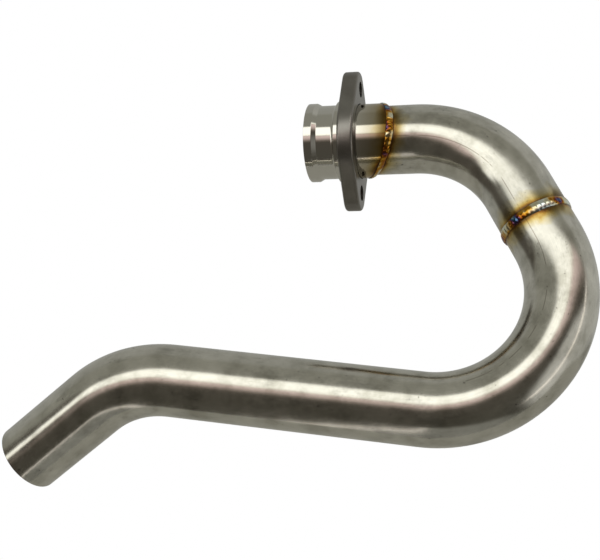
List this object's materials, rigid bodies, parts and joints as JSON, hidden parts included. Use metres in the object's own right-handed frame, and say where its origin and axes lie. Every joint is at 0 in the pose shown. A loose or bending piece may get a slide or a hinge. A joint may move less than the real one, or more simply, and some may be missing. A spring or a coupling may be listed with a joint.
{
  "type": "motorcycle exhaust header",
  "caption": "Bent stainless exhaust header in two welded lengths, with a turned collar and a loose two-stud flange.",
  "frame": {"origin": "on the collar's axis, in the flange's cylinder head face, midway between the two stud holes", "axes": "+X along the collar towards the tube, +Z along the line of the two studs, +Y away from the side that the picture shows"},
  "size_m": [0.3181, 0.1083, 0.2277],
  "materials": {
    "polished_collar": "polished after turning",
    "satin_flange": "dark warm grey, satin",
    "satin_tube": "satin, faintly blotchy",
    "weld_bead": "rippled bead with straw, gold and blue heat tint"
  },
  "bodies": {
    "header": {"port_collar": "polished_collar", "upper_pipe": "satin_tube", "lower_pipe": "satin_tube", "collar_weld": "weld_bead", "pipe_weld": "weld_bead"},
    "flange": {"mounting_flange": "satin_flange"}
  },
  "joints": [
    {"name": "flange_swivel", "type": "hinge", "parent": "header", "child": "flange", "pos_m": [0, 0, 0], "axis": [1, 0, 0], "continuous": true}
  ]
}
